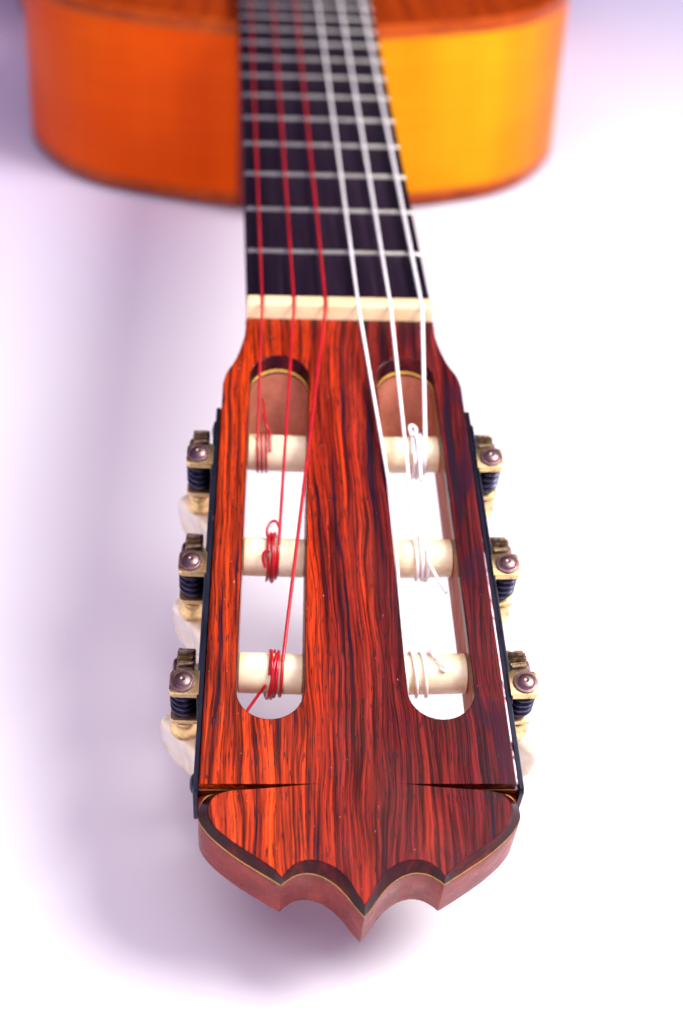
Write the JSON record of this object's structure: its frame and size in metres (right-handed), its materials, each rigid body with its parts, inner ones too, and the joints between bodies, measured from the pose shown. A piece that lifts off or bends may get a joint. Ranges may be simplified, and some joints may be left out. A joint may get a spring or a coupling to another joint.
{
  "type": "classical guitar",
  "caption": "Full-size classical guitar with a slotted headstock, geared tuning machines with worm-driven string rollers, nylon strings and a hollow braced body.",
  "frame": {"origin": "centre of the flat rest patch on the arched back, under the middle of the body", "axes": "+Y from the headstock to the tail, +X to the bass side, +Z out of the soundboard"},
  "size_m": [0.365, 0.985, 0.107],
  "materials": {
    "cedar_top": "satin, straight grain",
    "orange_rosewood": "high gloss, streaked",
    "cocobolo": "gloss, dark purple streaks",
    "mahogany": "satin",
    "ebony": "satin",
    "spruce": "raw",
    "yellow_veneer": "satin",
    "bone": "polished ivory cream",
    "fret_metal": "polished",
    "brass": "polished",
    "black_metal": "black lacquer",
    "pearl": "pearl cream, gloss",
    "cream_roller": "cream, gloss",
    "red_nylon": "translucent gloss",
    "white_wound": "satin"
  },
  "bodies": {
    "guitar": {"soundboard": "cedar_top", "back_plate": "orange_rosewood", "treble_rib": "orange_rosewood", "bass_rib": "orange_rosewood", "tail_block": "mahogany", "top_lining": "spruce", "back_lining": "spruce", "top_binding": "cocobolo", "back_binding": "cocobolo", "rosette": "yellow_veneer", "upper_harmonic_bar": "spruce", "lower_harmonic_bar": "spruce", "fan_brace_1": "spruce", "fan_brace_2": "spruce", "fan_brace_3": "spruce", "fan_brace_4": "spruce", "fan_brace_5": "spruce", "back_brace_1": "spruce", "back_brace_2": "spruce", "back_brace_3": "spruce", "neck": "mahogany", "fingerboard": "ebony", "fret_set": "fret_metal", "head_plate": "cocobolo", "head_accent_veneer": "yellow_veneer", "nut": "bone", "bridge": "ebony", "saddle": "bone", "string_1": "red_nylon", "string_2": "red_nylon", "string_3": "red_nylon", "string_4": "white_wound", "string_5": "white_wound", "string_6": "white_wound", "treble_machine_plate": "brass", "bass_machine_plate": "brass"},
    "treble_worm_1": {"treble_worm_shaft_1": "black_metal", "treble_button_1": "pearl"},
    "treble_roller_body_1": {"treble_roller_1": "cream_roller", "treble_gear_1": "brass"},
    "treble_worm_2": {"treble_worm_shaft_2": "black_metal", "treble_button_2": "pearl"},
    "treble_roller_body_2": {"treble_roller_2": "cream_roller", "treble_gear_2": "brass"},
    "treble_worm_3": {"treble_worm_shaft_3": "black_metal", "treble_button_3": "pearl"},
    "treble_roller_body_3": {"treble_roller_3": "cream_roller", "treble_gear_3": "brass"},
    "bass_worm_1": {"bass_worm_shaft_1": "black_metal", "bass_button_1": "pearl"},
    "bass_roller_body_1": {"bass_roller_1": "cream_roller", "bass_gear_1": "brass"},
    "bass_worm_2": {"bass_worm_shaft_2": "black_metal", "bass_button_2": "pearl"},
    "bass_roller_body_2": {"bass_roller_2": "cream_roller", "bass_gear_2": "brass"},
    "bass_worm_3": {"bass_worm_shaft_3": "black_metal", "bass_button_3": "pearl"},
    "bass_roller_body_3": {"bass_roller_3": "cream_roller", "bass_gear_3": "brass"}
  },
  "joints": [
    {"name": "treble_button_turn_1", "type": "hinge", "parent": "guitar", "child": "treble_worm_1", "pos_m": [-0.03894, -0.61856, 0.07295], "axis": [0, -0.342, 0.9397], "continuous": true},
    {"name": "treble_roller_turn_1", "type": "hinge", "parent": "guitar", "child": "treble_roller_body_1", "pos_m": [-0.03871, -0.61104, 0.07569], "axis": [0.9996, -0.0273, -0.0099], "continuous": true},
    {"name": "treble_button_turn_2", "type": "hinge", "parent": "guitar", "child": "treble_worm_2", "pos_m": [-0.03996, -0.65143, 0.06098], "axis": [0, -0.342, 0.9397], "continuous": true},
    {"name": "treble_roller_turn_2", "type": "hinge", "parent": "guitar", "child": "treble_roller_body_2", "pos_m": [-0.03972, -0.64392, 0.06372], "axis": [0.9996, -0.0273, -0.0099], "continuous": true},
    {"name": "treble_button_turn_3", "type": "hinge", "parent": "guitar", "child": "treble_worm_3", "pos_m": [-0.04097, -0.68431, 0.04902], "axis": [0, -0.342, 0.9397], "continuous": true},
    {"name": "treble_roller_turn_3", "type": "hinge", "parent": "guitar", "child": "treble_roller_body_3", "pos_m": [-0.04074, -0.67679, 0.05175], "axis": [0.9996, -0.0273, -0.0099], "continuous": true},
    {"name": "bass_button_turn_1", "type": "hinge", "parent": "guitar", "child": "bass_worm_1", "pos_m": [0.03894, -0.61856, 0.07295], "axis": [0, -0.342, 0.9397], "continuous": true},
    {"name": "bass_roller_turn_1", "type": "hinge", "parent": "guitar", "child": "bass_roller_body_1", "pos_m": [0.03871, -0.61104, 0.07569], "axis": [0.9996, 0.0273, 0.0099], "continuous": true},
    {"name": "bass_button_turn_2", "type": "hinge", "parent": "guitar", "child": "bass_worm_2", "pos_m": [0.03996, -0.65143, 0.06098], "axis": [0, -0.342, 0.9397], "continuous": true},
    {"name": "bass_roller_turn_2", "type": "hinge", "parent": "guitar", "child": "bass_roller_body_2", "pos_m": [0.03972, -0.64392, 0.06372], "axis": [0.9996, 0.0273, 0.0099], "continuous": true},
    {"name": "bass_button_turn_3", "type": "hinge", "parent": "guitar", "child": "bass_worm_3", "pos_m": [0.04097, -0.68431, 0.04902], "axis": [0, -0.342, 0.9397], "continuous": true},
    {"name": "bass_roller_turn_3", "type": "hinge", "parent": "guitar", "child": "bass_roller_body_3", "pos_m": [0.04074, -0.67679, 0.05175], "axis": [0.9996, 0.0273, 0.0099], "continuous": true}
  ],
  "couplings": [
    {"joint": "treble_roller_turn_1", "follows": "treble_button_turn_1", "ratio": -0.071429},
    {"joint": "treble_roller_turn_2", "follows": "treble_button_turn_2", "ratio": -0.071429},
    {"joint": "treble_roller_turn_3", "follows": "treble_button_turn_3", "ratio": -0.071429},
    {"joint": "bass_roller_turn_1", "follows": "bass_button_turn_1", "ratio": 0.071429},
    {"joint": "bass_roller_turn_2", "follows": "bass_button_turn_2", "ratio": 0.071429},
    {"joint": "bass_roller_turn_3", "follows": "bass_button_turn_3", "ratio": 0.071429}
  ]
}
